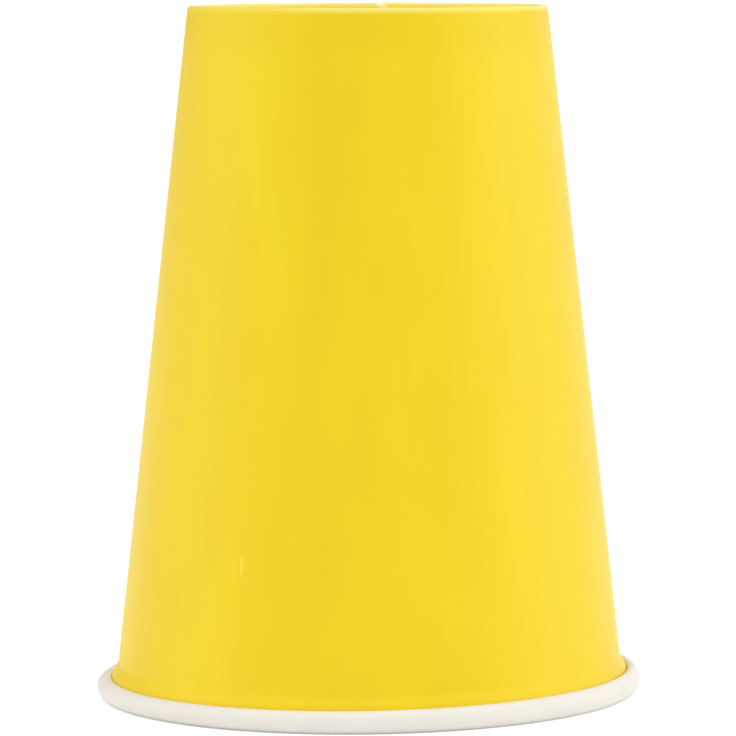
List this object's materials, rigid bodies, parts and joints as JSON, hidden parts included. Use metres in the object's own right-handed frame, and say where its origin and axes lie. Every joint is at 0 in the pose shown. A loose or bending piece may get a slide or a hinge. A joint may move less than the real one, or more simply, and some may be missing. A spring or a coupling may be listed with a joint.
{
  "type": "paper cup",
  "caption": "Single-wall paper cup standing mouth down: tapered yellow wall, white rolled rim and a recessed, hemmed base.",
  "frame": {"origin": "centre of the rim, in the plane that the mouth-down cup rests on", "axes": "+Z along the cup's axis from the mouth up to the base; -Y towards the viewer, with the side seam at the back, towards +Y"},
  "size_m": [0.09, 0.09, 0.1137],
  "materials": {
    "printed_board": "semi-gloss yellow print on the outside, white coated board on the inside and on the rolled rim",
    "plain_board": "plain white coated board"
  },
  "bodies": {
    "root": {"sidewall": "printed_board", "base_disc": "plain_board"}
  },
  "joints": []
}
